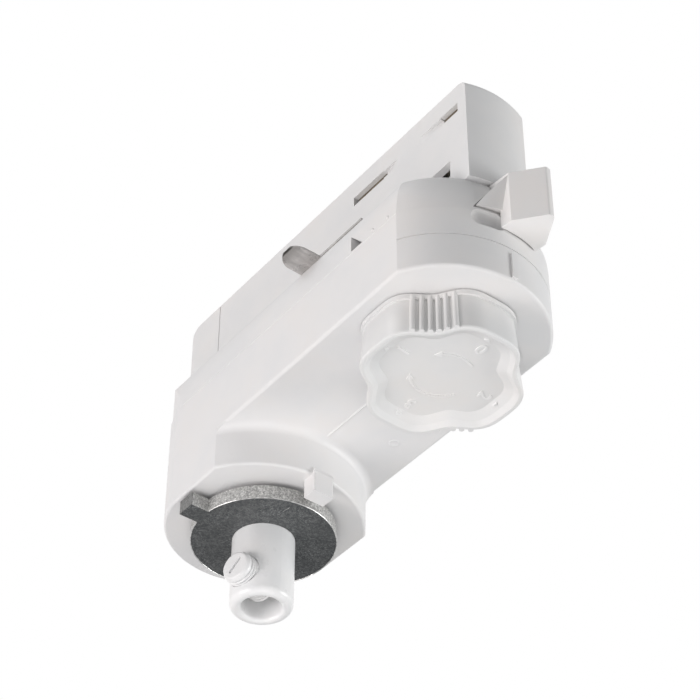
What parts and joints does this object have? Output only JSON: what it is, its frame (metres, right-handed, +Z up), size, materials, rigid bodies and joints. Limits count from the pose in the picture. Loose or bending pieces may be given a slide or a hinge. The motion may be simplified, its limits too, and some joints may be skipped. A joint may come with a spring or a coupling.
{
  "type": "track light adapter",
  "caption": "Three-circuit track light adapter with a pendant cord grip: a narrow insert above a rounded housing, a locking lever at one end and a circuit selector knob below.",
  "frame": {"origin": "on the plane where the housing's top meets the track's mouth, above the pendant axis", "axes": "+Z up into the track, +X along the track from the pendant axis to the selector knob, +Y the side that the lever swings to"},
  "size_m": [0.1033, 0.0434, 0.08],
  "materials": {
    "white_plastic": "satin moulded",
    "cream_plastic": "matte moulded",
    "plated_steel": "zinc plated",
    "galvanized_steel": "dull galvanized",
    "cast_zinc": "die cast, matte",
    "contact_brass": "rolled, satin"
  },
  "bodies": {
    "adapter": {"upper_housing": "white_plastic", "lower_cover": "white_plastic", "insert_body": "white_plastic", "insert_end_cap": "white_plastic", "earth_strip": "plated_steel", "phase_contact_1": "contact_brass", "phase_contact_2": "contact_brass", "phase_contact_3": "contact_brass", "neutral_contact": "contact_brass", "contact_holder": "cream_plastic", "terminal_block": "cream_plastic", "terminal_screws": "plated_steel", "pendant_washer": "galvanized_steel", "cord_grip_nozzle": "white_plastic", "grip_lock_nut": "plated_steel", "case_screws": "plated_steel", "insert_screws": "plated_steel", "earth_screw": "plated_steel", "detent_spring": "plated_steel"},
    "lever": {"locking_lever": "white_plastic", "locking_cam": "cast_zinc", "lever_ring": "plated_steel"},
    "selector": {"selector_knob": "white_plastic", "knob_flange": "white_plastic", "selector_shaft": "plated_steel", "contact_rotor": "cream_plastic"},
    "grip_screw": {"cord_screw": "white_plastic"}
  },
  "joints": [
    {"name": "lever_swing", "type": "hinge", "parent": "adapter", "child": "lever", "pos_m": [0.0544, 0, 0], "axis": [0, 0, 1], "range_deg": [0, 85]},
    {"name": "selector_turn", "type": "hinge", "parent": "adapter", "child": "selector", "pos_m": [0.0544, 0, 0], "axis": [0, 0, 1], "range_deg": [0, 270]},
    {"name": "cord_screw_travel", "type": "slide", "parent": "adapter", "child": "grip_screw", "axis": [0.2756, -0.9613, 0], "range_m": [-0.0012, 0.0027]}
  ]
}
